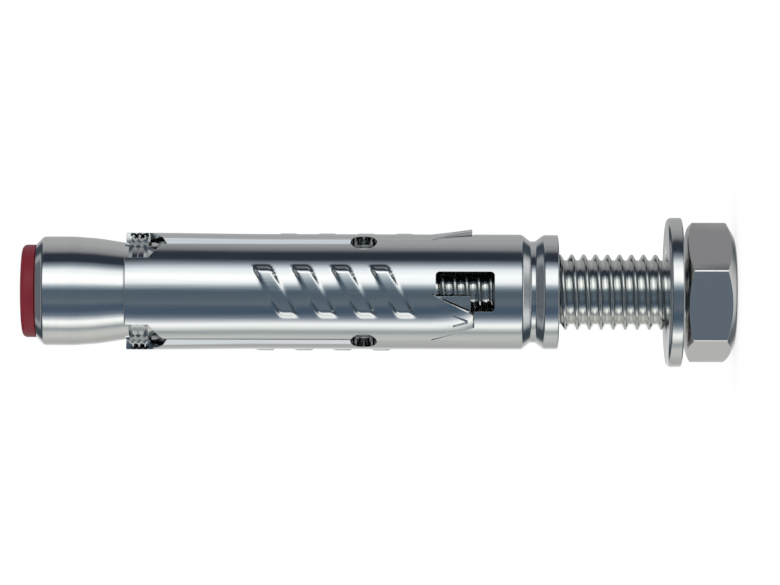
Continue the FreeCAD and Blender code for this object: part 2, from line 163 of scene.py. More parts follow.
# Windows and barbs
WINDOW_START = 6.7 * MM
WINDOW_LENGTH = 6.1 * MM
WINDOW_UPPER = 2.1 * MM
WINDOW_LOWER = 0.45 * MM
WINDOW_STEP = 2.05 * MM
WINDOW_STEP_LENGTH = 2.5 * MM
WINDOW_CORNER = 0.4 * MM
BARB_TIP = 8.8 * MM
BARB_LENGTH = 4.4 * MM
BARB_HEIGHT = 0.5 * MM
BARB_TWIST = 0.2 * MM
BARB_TURN = math.radians(29)
BARB_ROOT_HALF = 2.8 * MM
BARB_TIP_HALF = 0.94 * MM
LANCE_WIDTH = 0.15 * MM
MARK_WIDTH = 0.19 * MM
MARK_TIP_HALF = 1.05 * MARK_WIDTH
MARK_START = 0.7 * MM
MARK_LENGTH = 1.5 * MM
MARK_HALF = 0.72 * MM
MARK_DEPTH = 0.4 * MM

# Cone nut and cap
NUT_BORE_RADIUS = 4.0 * MM
CONE_SEAT_RADIUS = 5.05 * MM
CONE_KNEE = 2.9 * MM
CONE_KNEE_RISE = 0.45 * MM
CONE_KNEE_ROUND = 0.6 * MM
CONE_STRAIGHT = 4.0 * MM
CONE_STRAIGHT_ROUND = 0.3 * MM
CONE_END_CHAMFER = 0.85 * MM
CONE_END_ROUND = 0.22 * MM
CONE_RADIUS = CAP_RADIUS + CONE_END_CHAMFER
KEY_LENGTH = 1.9 * MM
KEY_ANGLE = math.radians(48)
KEY_END_GAP = 0.15 * MM
KEY_SINK = 0.12 * MM
KEY_ROOT = 0.6 * MM
KEY_TOOTH_DEPTH = 0.32 * MM
KEY_TEETH = 3
KEY_SPLIT = 1.1 * MM
CAP_ROUND = 0.5 * MM
CAP_PLUG = 2.0 * MM
PLUG_CLEARANCE = 0.02 * MM


# Modelling helpers

def set_down_everything():
    """Leaves object mode with nothing selected."""
    if bpy.context.object and bpy.context.object.mode != "OBJECT":
        bpy.ops.object.mode_set(mode="OBJECT")
    bpy.ops.object.select_all(action="DESELECT")


def pick(piece):
    """Makes one object the selected and active one."""
    set_down_everything()
    piece.select_set(True)
    bpy.context.view_layer.objects.active = piece


def named_primitive(name):
    """Names the primitive just added, puts its place into its mesh and gives back its object."""
    bpy.ops.object.transform_apply(location=True, rotation=True, scale=True)
    piece = bpy.context.object
    piece.name = piece.data.name = name
    return piece


def turn_about_axis(piece, angle):
    """Turns a mesh about the anchor's axis."""
    piece.data.transform(Matrix.Rotation(angle, 4, "Z"))


def finish_mesh():
    """Merges doubles, points the faces outwards and goes back to object mode."""
    bpy.ops.mesh.select_mode(type="VERT")
    bpy.ops.mesh.select_all(action="SELECT")
    bpy.ops.mesh.remove_doubles(threshold=MERGE_DISTANCE)
    bpy.ops.mesh.normals_make_consistent(inside=False)
    bpy.ops.object.mode_set(mode="OBJECT")


def section(name, corners, closed=True, level=False):
    """A chain of edges through (x, height) corners, or level (x, y) ones, extruded point by point."""
    spots = [Vector((across, along, 0) if level else (across, 0, along)) for across, along in corners]
    set_down_everything()
    bpy.ops.mesh.primitive_plane_add(size=MM)
    piece = named_primitive(name)
    bpy.ops.object.mode_set(mode="EDIT")
    bpy.ops.mesh.merge(type="CENTER")
    bpy.ops.transform.translate(value=spots[0])
    stops = spots + spots[:closed]
    for spot, following in zip(stops, stops[1:]):
        bpy.ops.mesh.extrude_vertices_move(TRANSFORM_OT_translate={"value": following - spot})
    bpy.ops.mesh.select_all(action="SELECT")
    bpy.ops.mesh.remove_doubles(threshold=MERGE_DISTANCE)
    return piece


def choose(piece, test, kind="VERT"):
    """Selects in edit mode the vertices that pass a test, or the edges whose middle passes it."""
    bpy.ops.mesh.select_mode(type=kind)
    bpy.ops.mesh.select_all(action="DESELECT")
    mesh = bmesh.from_edit_mesh(piece.data)
    if kind == "VERT":
        for vertex in mesh.verts:
            vertex.select = test(vertex.co)
    else:
        for edge in mesh.edges:
            edge.select = test((edge.verts[0].co + edge.verts[1].co) / 2)
    mesh.select_flush_mode()
    bmesh.update_edit_mesh(piece.data)


def round_corners(piece, corners, radius, segments=ROUND_STEPS):
    """Rounds corners of a section, given as (x, height)."""
    choose(piece, lambda co: any(math.dist((co.x, co.z), corner) < NEAR for corner in corners))
    bpy.ops.mesh.bevel(affect="VERTICES", offset=radius, segments=segments, profile=0.5)


def divide_run(piece, low, high, cuts):
    """Divides the edges of the wall's section that lie between two heights on its outside."""
    choose(piece, lambda co: low < co.z < high and co.x > SLEEVE_RADIUS - SLEEVE_WALL / 2, "EDGE")
    bpy.ops.mesh.subdivide(number_cuts=cuts)


def turn_section(piece, steps):
    """Spins the section about +Z and closes the seam."""
    bpy.ops.mesh.select_all(action="SELECT")
    bpy.ops.mesh.spin(steps=steps, angle=math.tau, center=(0, 0, 0), axis=(0, 0, 1))
    finish_mesh()
    return piece


def turned(name, corners, rounds=(), steps=COARSE_STEPS):
    """A turned piece from its section, open if that starts on the axis. rounds are (corners, radius) pairs."""
    piece = section(name, corners, closed=corners[0][0] > 0)
    for spots, radius in rounds:
        round_corners(piece, spots, radius)
    return turn_section(piece, steps)


def combine(piece, tool, operation):
    """Cuts a tool from a piece, joins it on, or keeps what both share."""
    pick(piece)
    modifier = piece.modifiers.new(operation, "BOOLEAN")
    modifier.operation = operation
    modifier.solver = "EXACT"
    modifier.object = tool
    bpy.ops.object.modifier_apply(modifier=modifier.name)
    bpy.data.objects.remove(tool)


def repeat_round(piece):
    """Joins copies of a piece, one for each segment, into one mesh."""
    twins = []
    for number in range(1, SEGMENTS):
        pick(piece)
        bpy.ops.object.duplicate()
        twins.append(bpy.context.object)
        turn_about_axis(twins[-1], math.tau * number / SEGMENTS)
    pick(piece)
    for twin in twins:
        twin.select_set(True)
    bpy.ops.object.join()
    return piece


def smoothed(piece, angle=SMOOTH_ANGLE):
    """Smooths the faces that meet at less than an angle."""
    pick(piece)
    bpy.ops.object.shade_smooth_by_angle(angle=angle)
    return piece


def smooth_step(value):
    """0 below 0, 1 above 1, and a smooth rise between."""
    value = min(max(value, 0), 1)
    return value * value * (3 - 2 * value)


# Bolt

def make_thread():
    """Rolled thread: one pitch of its section screwed along the shank, cut square at both ends."""
    root = BOLT_RADIUS - THREAD_DEPTH
    flank = THREAD_START + (THREAD_PITCH - THREAD_CREST - 2 * THREAD_FLANK) / 2
    crest = flank + THREAD_FLANK
    corners = [
        (root, THREAD_START),
        (root, flank),
        (BOLT_RADIUS, crest),
        (BOLT_RADIUS, crest + THREAD_CREST),
        (root, crest + THREAD_CREST + THREAD_FLANK),
        (root, THREAD_START + THREAD_PITCH),
    ]
    piece = section("bolt", corners, closed=False)
    round_corners(piece, corners[1:5], THREAD_ROUND, THREAD_ROUND_STEPS)
    bpy.ops.object.mode_set(mode="OBJECT")
    screw = piece.modifiers.new("thread", "SCREW")
    screw.axis = "Z"
    screw.angle = math.tau
    screw.screw_offset = THREAD_PITCH
    screw.iterations = math.ceil((BOLT_TIP - THREAD_START) / THREAD_PITCH) + 1
    screw.steps = screw.render_steps = THREAD_STEPS
    screw.use_merge_vertices = True
    screw.merge_threshold = MERGE_DISTANCE
    bpy.ops.object.modifier_apply(modifier=screw.name)
    bpy.ops.object.mode_set(mode="EDIT")
    for height, sign in ((HEAD_HEIGHT / 2, -1), (BOLT_TIP, 1)):
        bpy.ops.mesh.select_all(action="SELECT")
        bpy.ops.mesh.bisect(plane_co=(0, 0, height), plane_no=(0, 0, sign), use_fill=True,
                            clear_outer=True, threshold=PLANE_DISTANCE)
    finish_mesh()
    return piece


def make_bolt_tip_form():
    """Body of revolution that holds the shank and its chamfered tip."""
    wide = 2 * BOLT_RADIUS
    return turned("tip_form", [
        (0, 0),
        (wide, 0),
        (wide, BOLT_TIP - BOLT_TIP_CHAMFER - (wide - BOLT_RADIUS)),
        (BOLT_RADIUS - BOLT_TIP_CHAMFER, BOLT_TIP),
        (0, BOLT_TIP),
    ], steps=THREAD_STEPS)


def make_head():
    """Hexagon with rounded edges, both its ends chamfered by a cone."""
    corner = HEAD_ACROSS_FLATS / 2 / math.cos(HEX_HALF_ANGLE)
    set_down_everything()
    bpy.ops.mesh.primitive_cylinder_add(vertices=6, radius=corner, depth=HEAD_HEIGHT,
                                        location=(0, 0, HEAD_HEIGHT / 2))
    head = named_primitive("head")
    first = head.data.vertices[0].co
    turn_about_axis(head, HEAD_TURN - math.atan2(first.y, first.x))
    bpy.ops.object.mode_set(mode="EDIT")
    choose(head, lambda co: 0 < co.z < HEAD_HEIGHT and co.xy.length > corner - NEAR, "EDGE")
    bpy.ops.mesh.bevel(offset=HEAD_EDGE_ROUND, segments=ROUND_STEPS, affect="EDGES")
    finish_mesh()
    wide = corner + HEAD_FORM_MARGIN
    fall = (wide - HEAD_CHAMFER_RADIUS) * math.tan(HEAD_CHAMFER_ANGLE)
    bearing_fall = (wide - HEAD_BEARING_RADIUS) * math.tan(HEAD_CHAMFER_ANGLE)
    corners = [
        (0, 0),
        (HEAD_CHAMFER_RADIUS, 0),
        (wide, fall),
        (wide, HEAD_HEIGHT - bearing_fall),
        (HEAD_BEARING_RADIUS, HEAD_HEIGHT),
        (0, HEAD_HEIGHT),
    ]
    combine(head, turned("head_form", corners, [([corners[1], corners[4]], HEAD_END_ROUND)]), "INTERSECT")
    return head


def make_bolt():
    """Hex bolt in one piece, threaded up to its head."""
    bolt = make_thread()
    combine(bolt, make_bolt_tip_form(), "INTERSECT")
    combine(bolt, make_head(), "UNION")
    return smoothed(bolt, BOLT_SMOOTH_ANGLE)


# Washer

def make_washer():
    """Punched washer, rounded on the side away from the head."""
    corners = [
        (WASHER_HOLE_RADIUS, WASHER_LOW),
        (WASHER_RADIUS, WASHER_LOW),
        (WASHER_RADIUS, WASHER_HIGH),
        (WASHER_HOLE_RADIUS, WASHER_HIGH),
    ]
    return smoothed(turned("flat_washer", corners, [
        ([corners[2]], WASHER_RIM_ROUND),
        ([corners[0], corners[1], corners[3]], WASHER_EDGE_ROUND),
    ]))


# Sleeve

def make_wall():
    """Rolled wall with collar, round groove, barrel and flared mouth."""
    groove_start = FOOT + COLLAR_HEIGHT
    groove_end = groove_start + GROOVE_LENGTH
    middle = (groove_start + groove_end) / 2
    flare_end = MOUTH - MOUTH_STRAIGHT
    flare_start = flare_end - FLARE_LENGTH
    barbs = (FOOT + BARB_TIP, FOOT + BARB_TIP + BARB_LENGTH)
    ribs_reach = (RIB_COUNT * RIB_PITCH + RIB_RISE) / 2
    ribs = (FOOT + RIB_CENTRE - ribs_reach, FOOT + RIB_CENTRE + ribs_reach)
    flare = (MOUTH_RADIUS - SLEEVE_RADIUS) / FLARE_LENGTH
    outside = [
        (COLLAR_RADIUS, FOOT),
        (COLLAR_RADIUS, groove_start),
        (SLEEVE_RADIUS - GROOVE_DEPTH, middle - GROOVE_FLOOR / 2),
        (SLEEVE_RADIUS - GROOVE_DEPTH, middle + GROOVE_FLOOR / 2),
        (SLEEVE_RADIUS, groove_end),
        (SLEEVE_RADIUS, barbs[0]),
        (SLEEVE_RADIUS, barbs[1]),
        (SLEEVE_RADIUS, ribs[0]),
        (SLEEVE_RADIUS, flare_start),
        (SLEEVE_RADIUS + flare * (ribs[1] - flare_start), ribs[1]),
        (MOUTH_RADIUS, flare_end),
        (MOUTH_RADIUS, MOUTH),
    ]
    inside = [(radius - SLEEVE_WALL, height) for radius, height in reversed(outside)]
    wall = section("sleeve", outside + inside)
    round_corners(wall, [outside[1], outside[4]], GROOVE_SHOULDER_ROUND)
    round_corners(wall, outside[2:4], GROOVE_FLOOR_ROUND)
    round_corners(wall, [outside[0], outside[-1]], SLEEVE_END_ROUND)
    slope_middle = (groove_start + middle - GROOVE_FLOOR / 2) / 2
    divide_run(wall, slope_middle - GROOVE_FLOOR_ROUND, slope_middle + GROOVE_FLOOR_ROUND, SLOPE_CUTS)
    divide_run(wall, *barbs, BARB_CUTS)
    divide_run(wall, ribs[0], flare_start, RIB_CUTS)
    divide_run(wall, flare_start, ribs[1], FLARE_CUTS)
    return turn_section(wall, FINE_STEPS)


def turn_in_segment(vertex):
    """Angle of a vertex from the middle of its segment, one of which faces -Y."""
    share = math.tau / SEGMENTS
    turn = -math.pi / 2 - math.atan2(vertex.co.y, vertex.co.x)
    return (turn + share / 2) % share - share / 2


def rib_height_at(turn, height):
    """How far the ribs stand out at an angle from a segment's middle and a height over the foot."""
    swell = RIB_UPPER_SWELL if turn < 0 else RIB_LOWER_SWELL
    rise = RIB_MIDDLE_HEIGHT + swell * min(abs(turn) / RIB_PEAK, 1) ** 2
    rise *= smooth_step((RIB_END - abs(turn)) / (RIB_END - RIB_PEAK))
    if not rise:
        return 0
    middle = height + RIB_RISE * turn / RIB_ANGLE - RIB_CENTRE
    number = round(middle / RIB_PITCH + (RIB_COUNT - 1) / 2)
    number = min(max(number, 0), RIB_COUNT - 1)
    offset = middle - (number - (RIB_COUNT - 1) / 2) * RIB_PITCH
    edge = RIB_SOFT_EDGE if offset > 0 else RIB_SHARP_EDGE
    return rise * smooth_step((RIB_HALF_WIDTH - abs(offset)) / edge)


def press_ribs(wall):
    """Raises the slanted ribs on the outside of each segment."""
    for vertex in wall.data.vertices:
        radius = vertex.co.xy.length
        if radius < SLEEVE_RADIUS - NEAR:
            continue
        rise = rib_height_at(turn_in_segment(vertex), vertex.co.z - FOOT)
        vertex.co.xy *= (radius + rise) / radius


def side_cutter(name, outline, rounded=(), radius=0, start=BOLT_RADIUS):
    """A closed (x, height) outline on the side that faces -Y, carried outwards from a start radius."""
    cutter = section(name, outline)
    if rounded:
        round_corners(cutter, rounded, radius)
    bpy.ops.mesh.select_all(action="SELECT")
    bpy.ops.mesh.edge_face_add()
    bpy.ops.transform.translate(value=(0, -start, 0))
    bpy.ops.mesh.extrude_region_move(TRANSFORM_OT_translate={"value": (0, -MOUTH_RADIUS, 0)})
    finish_mesh()
    return cutter


def make_slit_cutters():
    """Cutters for the long slits: a narrow gap at the bore, its two sides sheared wider outwards."""
    gap = SLIT_GAP / 2
    run = SLIT_WIDTH / 2 - gap
    lower, upper = math.tan(SLIT_LOWER_TILT), math.tan(SLIT_UPPER_TILT)
    cutter = section("slits", [
        (gap, -BOLT_RADIUS),
        (-gap, -BOLT_RADIUS),
        (-gap, run * lower - SLEEVE_RADIUS),
        (-gap - run - SLIT_REACH, -SLEEVE_RADIUS - SLIT_REACH * lower),
        (gap + run + SLIT_REACH, -SLEEVE_RADIUS - SLIT_REACH * upper),
        (gap, run * upper - SLEEVE_RADIUS),
    ], level=True)
    bpy.ops.mesh.edge_face_add()
    bpy.ops.transform.translate(value=(0, 0, MOUTH - SLOT_DEPTH))
    length = SLOT_DEPTH - NOTCH_POINT / 2 - NOTCH_DEPTH / 2
    bpy.ops.mesh.extrude_region_move(TRANSFORM_OT_translate={"value": (0, 0, length)})
    finish_mesh()
    turn_about_axis(cutter, math.pi / SEGMENTS)
    return repeat_round(cutter)


def make_notch_cutters():
    """Cutters for the funnel mouths of the slits, in which the keys of the cone nut lie."""
    start, wide, beyond = MOUTH - NOTCH_POINT, MOUTH - NOTCH_DEPTH, MOUTH + SLEEVE_WALL
    cutter = side_cutter("notches", [
        (SLIT_GAP / 4, start),
        (NOTCH_WIDTH / 2, wide),
        (NOTCH_WIDTH / 2, beyond),
        (-NOTCH_WIDTH / 2, beyond),
        (-NOTCH_WIDTH / 2, wide),
        (-SLIT_GAP / 4, start),
    ])
    turn_about_axis(cutter, math.pi / SEGMENTS)
    return repeat_round(cutter)


def make_relief_cutters():
    """Cutters for the round holes at the ends of the slits."""
    set_down_everything()
    bpy.ops.mesh.primitive_cylinder_add(vertices=RELIEF_STEPS, radius=SLOT_HOLE_RADIUS, depth=MOUTH_RADIUS,
                                        location=(0, MOUTH_RADIUS, MOUTH - SLOT_DEPTH),
                                        rotation=(math.pi / 2, 0, 0))
    return repeat_round(named_primitive("reliefs"))


def make_window_cutters():
    """Cutters for the stepped windows, drawn for the segment that faces -Y."""
    low = FOOT + WINDOW_START
    high = low + WINDOW_LENGTH
    step = low + WINDOW_STEP_LENGTH
    outline = [
        (WINDOW_UPPER, low),
        (WINDOW_UPPER, high),
        (-WINDOW_LOWER, high),
        (-WINDOW_LOWER, step),
        (-WINDOW_STEP, step),
        (-WINDOW_STEP, low),
    ]
    rounded = [outline[0], outline[1], outline[5]]
    return repeat_round(side_cutter("windows", outline, rounded, WINDOW_CORNER))


def open_frame(half, wide, tip, root, line):
    """Outline of a thin line along both sides and the tip of a tapered tongue, open at its root."""
    outer = [(wide, root), (half, tip), (-half, tip), (-wide, root)]
    return outer + [
        (line - wide, root),
        (line - half, tip + line),
        (half - line, tip + line),
        (wide - line, root),
    ]


def make_lance_cutters():
    """Cutters for the thin cuts along both sides and the tip of each barb."""
    tip = FOOT + BARB_TIP
    outline = open_frame(BARB_TIP_HALF, BARB_ROOT_HALF, tip, tip + BARB_LENGTH, LANCE_WIDTH)
    cutter = side_cutter("lances", outline)
    turn_about_axis(cutter, -BARB_TURN)
    return repeat_round(cutter)


def make_mark_cutters():
    """Cutters for the pointed marks struck into the barbs."""
    tip = FOOT + BARB_TIP + MARK_START
    outline = open_frame(MARK_TIP_HALF, MARK_HALF, tip, tip + MARK_LENGTH, MARK_WIDTH)
    cutter = side_cutter("marks", outline, start=SLEEVE_RADIUS - MARK_DEPTH)
    turn_about_axis(cutter, -BARB_TURN)
    return repeat_round(cutter)


def lift_barbs(sleeve):
    """Bends each lanced tongue outwards from its root, and most at the side towards its window."""
    tip = FOOT + BARB_TIP
    for vertex in sleeve.data.vertices:
        if not LANCE_WIDTH / 2 < vertex.co.z - tip < BARB_LENGTH:
            continue
        along = (vertex.co.z - tip) / BARB_LENGTH
        radius = vertex.co.xy.length
        across = radius * math.sin(turn_in_segment(vertex) - BARB_TURN)
        half = BARB_TIP_HALF + (BARB_ROOT_HALF - BARB_TIP_HALF) * along
        if abs(across) < half - LANCE_WIDTH / 2:
            vertex.co.xy *= 1 + (BARB_HEIGHT - BARB_TWIST * across / half) * (1 - along) / radius


def make_sleeve():
    """Sleeve rolled from sheet, ribbed, windowed, slotted, and lanced for its barbs."""
    sleeve = make_wall()
    press_ribs(sleeve)
    for make_cutters in (make_window_cutters, make_lance_cutters, make_mark_cutters,
                         make_slit_cutters, make_notch_cutters, make_relief_cutters):
        combine(sleeve, make_cutters(), "DIFFERENCE")
    lift_barbs(sleeve)
    return smoothed(sleeve, FINE_SMOOTH_ANGLE)


# Cone nut

def make_keys():
    """Toothed keys that lie in the notches of the sleeve, each split along its middle."""
    low = MOUTH - NOTCH_DEPTH + KEY_END_GAP
    crest = MOUTH_RADIUS - KEY_SINK
    valley = crest - KEY_TOOTH_DEPTH
    inside = CONE_SEAT_RADIUS - KEY_ROOT
    pitch = KEY_LENGTH / KEY_TEETH
    corners = [(inside, low)]
    for number in range(KEY_TEETH):
        corners += [(valley, low + number * pitch), (crest, low + (number + 0.5) * pitch)]
    corners += [(valley, low + KEY_LENGTH), (inside, low + KEY_LENGTH)]
    keys = section("keys", corners)
    bpy.ops.mesh.edge_face_add()
    bpy.ops.mesh.spin(steps=KEY_STEPS, angle=KEY_ANGLE, center=(0, 0, 0), axis=(0, 0, 1))
    finish_mesh()
    turn_about_axis(keys, math.pi / 2 + KEY_ANGLE / 2)
    set_down_everything()
    depth = MOUTH_RADIUS - CONE_SEAT_RADIUS
    bpy.ops.mesh.primitive_cube_add(size=1, location=(0, CONE_SEAT_RADIUS + depth, low + KEY_LENGTH / 2),
                                    scale=(KEY_SPLIT, 2 * depth, 2 * KEY_LENGTH))
    combine(keys, named_primitive("split"), "DIFFERENCE")
    return repeat_round(keys)


def make_cone():
    """Cone nut turned from bar, with its keys."""
    slope = (CONE_RADIUS - CONE_SEAT_RADIUS) / (CONE_TOP - CONE_STRAIGHT - MOUTH)
    tail = CONE_SEAT_RADIUS - slope * (MOUTH - CONE_TAIL)
    corners = [
        (NUT_BORE_RADIUS, CONE_TAIL),
        (tail, CONE_TAIL),
        (CONE_SEAT_RADIUS, MOUTH),
        (CONE_SEAT_RADIUS + CONE_KNEE_RISE, MOUTH + CONE_KNEE),
        (CONE_RADIUS, CONE_TOP - CONE_STRAIGHT),
        (CONE_RADIUS, CONE_TOP - CONE_END_CHAMFER),
        (CONE_RADIUS - CONE_END_CHAMFER, CONE_TOP),
        (NUT_BORE_RADIUS, CONE_TOP),
    ]
    cone = turned("cone", corners, [
        ([corners[3]], CONE_KNEE_ROUND),
        ([corners[4]], CONE_STRAIGHT_ROUND),
        ([corners[5], corners[6]], CONE_END_ROUND),
    ], FINE_STEPS)
    combine(cone, make_keys(), "UNION")
    return smoothed(cone, FINE_SMOOTH_ANGLE)


# Cap

def make_cap():
    """Moulded cap with its plug in the nut's thread."""
    plug = NUT_BORE_RADIUS - PLUG_CLEARANCE
    corners = [
        (0, CONE_TOP - CAP_PLUG),
        (plug, CONE_TOP - CAP_PLUG),
        (plug, CONE_TOP),
        (CAP_RADIUS, CONE_TOP),
        (CAP_RADIUS, CAP_TOP),
        (0, CAP_TOP),
    ]
    return smoothed(turned("cap", corners, [([corners[4]], CAP_ROUND)]))


# Materials

AXIAL = (6000, 6000, 120)
ROUND = (100, 100, 3000)
EVEN = (2500, 2500, 2500)
TONE_STRETCH = 4
TONE_DETAIL = 3.0
STREAK_DETAIL = 5.0
GRAIN_DETAIL = 4.0
NOISE_LOW, NOISE_HIGH = 0.3, 0.7
EDGE_SOFTNESS = 0.05 * MM
EDGE_SAMPLES = 4
SATIN_ROUGHNESS = 0.13
SATIN_COLOUR = (0.93, 0.92, 0.91)
SATIN_END = 0.1 * MM
CAP_DARK = (0.17, 0.002, 0.012)
CAP_LIGHT = (0.26, 0.003, 0.021)
CAP_ROUGHNESS = (0.38, 0.5)
CAP_TONE_GRAIN = (300, 300, 300)
CAP_FINE_GRAIN = (5000, 5000, 5000)
CAP_BUMP_STRENGTH = 0.4
CAP_BUMP_HEIGHT = 0.01 * MM


def new_material(name):
    """A node material with its nodes, links and main shader."""
    material = bpy.data.materials.new(name)
    material.use_nodes = True
    nodes = material.node_tree.nodes
    return material, nodes, material.node_tree.links, nodes["Principled BSDF"]


def grain(nodes, links, scale, detail=GRAIN_DETAIL):
    """Noise on Object coordinates, stretched by a scale for each direction."""
    place = nodes.new("ShaderNodeTexCoord")
    mapping = nodes.new("ShaderNodeMapping")
    mapping.inputs["Scale"].default_value = scale
    links.new(place.outputs["Object"], mapping.inputs["Vector"])
    noise = nodes.new("ShaderNodeTexNoise")
    noise.inputs["Scale"].default_value = 1.0
    noise.inputs["Detail"].default_value = detail
    links.new(mapping.outputs["Vector"], noise.inputs["Vector"])
    return noise.outputs["Fac"]


def spread(nodes, links, source, low, high, start=NOISE_LOW, end=NOISE_HIGH):
    """Maps a value that runs from start to end to the range from low to high."""
    mapped = nodes.new("ShaderNodeMapRange")
    mapped.inputs["From Min"].default_value = start
    mapped.inputs["From Max"].default_value = end
    mapped.inputs["To Min"].default_value = low
    mapped.inputs["To Max"].default_value = high
    links.new(source, mapped.inputs["Value"])
    return mapped.outputs["Result"]


def maths(nodes, links, operation, *values):
    """A maths node on values, each a number or another node's output."""
    node = nodes.new("ShaderNodeMath")
    node.operation = operation
    for place, value in zip(node.inputs, values):
        if isinstance(value, (int, float)):
            place.default_value = value
        else:
            links.new(value, place)
    return node.outputs["Value"]


def mixed(nodes, links, share, first, second):
    """Mixes a colour output with a share of a fixed colour."""
    node = nodes.new("ShaderNodeMix")
    node.data_type = "RGBA"
    links.new(share, node.inputs["Factor"])
    links.new(first, node.inputs["A"])
    node.inputs["B"].default_value = (*second, 1)
    return node.outputs["Result"]


def two_tones(nodes, links, source, dark, light, start, end):
    """Colour that goes from dark to light as a value runs from start to end."""
    ramp = nodes.new("ShaderNodeValToRGB")
    for element, position, colour in zip(ramp.color_ramp.elements, (start, end), (dark, light)):
        element.position = position
        element.color = (*colour, 1)
    links.new(source, ramp.inputs["Fac"])
    return ramp.outputs["Color"]


def bumps(nodes, links, source, strength, height):
    """Bump node that raises a value's peaks to a height."""
    bump = nodes.new("ShaderNodeBump")
    bump.inputs["Strength"].default_value = strength
    bump.inputs["Distance"].default_value = height
    links.new(source, bump.inputs["Height"])
    return bump


def zinc(name, light, dark, roughness, streaks, bump_height, satin_below=0):
    """Zinc plating: bright metal with faint streaks, softened edges, and satin below a given height."""
    material, nodes, links, shader = new_material(name)
    shader.inputs["Metallic"].default_value = 1.0
    tone = grain(nodes, links, tuple(value / TONE_STRETCH for value in streaks), TONE_DETAIL)
    colour = two_tones(nodes, links, tone, dark, light, NOISE_LOW, NOISE_HIGH)
    lines = grain(nodes, links, streaks, STREAK_DETAIL)
    dullness = spread(nodes, links, lines, *roughness)
    if satin_below:
        place = nodes.new("ShaderNodeTexCoord")
        parts = nodes.new("ShaderNodeSeparateXYZ")
        links.new(place.outputs["Object"], parts.inputs["Vector"])
        satin = spread(nodes, links, parts.outputs["Z"], 1, 0, satin_below, satin_below + SATIN_END)
        dullness = maths(nodes, links, "MULTIPLY_ADD", satin, SATIN_ROUGHNESS, dullness)
        colour = mixed(nodes, links, satin, colour, SATIN_COLOUR)
    links.new(colour, shader.inputs["Base Color"])
    links.new(dullness, shader.inputs["Roughness"])
    softening = nodes.new("ShaderNodeBevel")
    softening.samples = EDGE_SAMPLES
    softening.inputs["Radius"].default_value = EDGE_SOFTNESS
    bump = bumps(nodes, links, lines, 1.0, bump_height)
    links.new(softening.outputs["Normal"], bump.inputs["Normal"])
    links.new(bump.outputs["Normal"], shader.inputs["Normal"])
    return material


def moulded_red():
    """Dark crimson plastic with a soft sheen."""
    material, nodes, links, shader = new_material("moulded_red")
    tone = grain(nodes, links, CAP_TONE_GRAIN)
    links.new(two_tones(nodes, links, tone, CAP_DARK, CAP_LIGHT, 0, 1), shader.inputs["Base Color"])
    links.new(spread(nodes, links, tone, *CAP_ROUGHNESS), shader.inputs["Roughness"])
    bump = bumps(nodes, links, grain(nodes, links, CAP_FINE_GRAIN), CAP_BUMP_STRENGTH, CAP_BUMP_HEIGHT)
    links.new(bump.outputs["Normal"], shader.inputs["Normal"])
    return material


def dress(piece, material, node, body):
    """Gives a piece its finish and puts it in the place of its CAD node."""
    piece.data.materials.clear()
    piece.data.materials.append(material)
    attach(piece, body)
    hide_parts(node)


# Studio

# Light from each direction round the axis: degrees from -Y towards -X, and linear colour
LIGHT_BANDS = [
    (-180, (0.45, 0.46, 0.46)),
    (-150, (0.42, 0.42, 0.42)),
    (-120, (0.41, 0.41, 0.41)),
    (-108, (0.35, 0.36, 0.36)),
    (-95, (0.27, 0.27, 0.28)),
    (-85, (0.03, 0.036, 0.05)),
    (-66, (0.025, 0.035, 0.05)),
    (-56, (0.30, 0.34, 0.38)),
    (-46, (0.95, 0.98, 1.0)),
    (-30, (1.25, 1.25, 1.22)),
    (-18, (1.15, 1.15, 1.12)),
    (-10, (0.35, 0.42, 0.46)),
    (-2, (0.09, 0.125, 0.16)),
    (12, (0.10, 0.135, 0.17)),
    (24, (0.13, 0.16, 0.19)),
    (34, (0.07, 0.105, 0.15)),
    (44, (0.07, 0.105, 0.15)),
    (54, (0.17, 0.21, 0.26)),
    (62, (0.60, 0.62, 0.66)),
    (69, (1.15, 1.16, 1.12)),
    (76, (0.98, 0.99, 0.94)),
    (88, (0.32, 0.35, 0.36)),
    (100, (0.58, 0.59, 0.56)),
    (112, (0.60, 0.60, 0.57)),
    (128, (0.48, 0.48, 0.45)),
    (145, (0.44, 0.44, 0.43)),
    (160, (0.65, 0.65, 0.65)),
    (172, (0.85, 0.85, 0.85)),
    (180, (0.60, 0.60, 0.60)),
]

# Light farther along the axis: where it starts and is full, as height on a unit sphere, and linear colour
FLAG = (0.36, 0.48, (0.05, 0.065, 0.08))
POLE = (0.68, 0.8, (0.68, 0.69, 0.69))
HEAD_END = (-0.88, -0.95, (0.24, 0.26, 0.28))
CAP_END = (0.7, 0.84, (0.13, 0.145, 0.16))
WHITE = (1, 1, 1)


